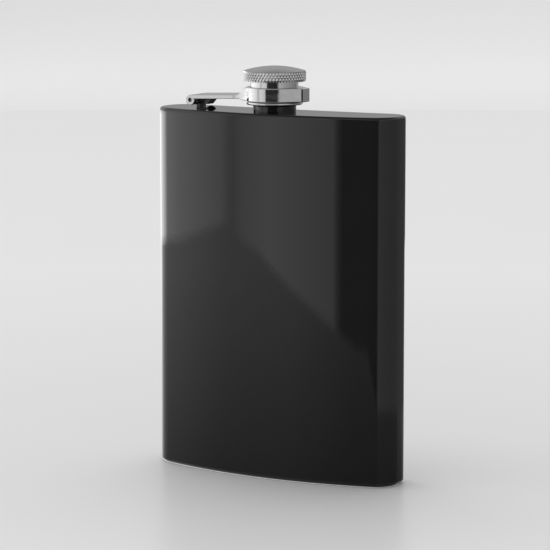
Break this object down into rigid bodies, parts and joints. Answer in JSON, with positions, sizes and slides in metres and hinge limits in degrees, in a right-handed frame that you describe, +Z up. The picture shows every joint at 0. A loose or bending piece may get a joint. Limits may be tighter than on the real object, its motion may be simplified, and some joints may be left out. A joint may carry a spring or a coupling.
{
  "type": "hip flask",
  "caption": "Slim curved metal hip flask, convex in front and slightly hollow behind, with a screw cap held on a hinged arm at the shoulder.",
  "frame": {"origin": "middle of the base, on the surface the flask stands on, under the neck's axis", "axes": "+Z up the neck's axis, -Y out of the convex front, -X towards the hinge"},
  "size_m": [0.0924, 0.0246, 0.1394],
  "materials": {
    "body_paint": "gloss black over steel",
    "polished_steel": "mirror polished stainless steel",
    "satin_steel": "satin, knurled round the rim",
    "pin_steel": "plain turned",
    "silicone": "matt, off-white"
  },
  "bodies": {
    "flask": {"front_shell": "body_paint", "back_shell": "body_paint", "top_plate": "body_paint", "base_plate": "body_paint", "neck": "body_paint", "hinge_bracket": "body_paint", "hinge_pin": "pin_steel"},
    "arm": {"arm": "polished_steel"},
    "cap": {"cap_head": "satin_steel", "cap_insert": "polished_steel", "seal": "silicone"}
  },
  "joints": [
    {"name": "arm_hinge", "type": "hinge", "parent": "flask", "child": "arm", "pos_m": [-0.0301, 0, 0.12705], "axis": [0, -1, 0], "range_deg": [0, 180]},
    {"name": "cap_spin", "type": "hinge", "parent": "arm", "child": "cap", "pos_m": [0, 0, 0.1302], "axis": [0, 0, 1], "continuous": true}
  ]
}
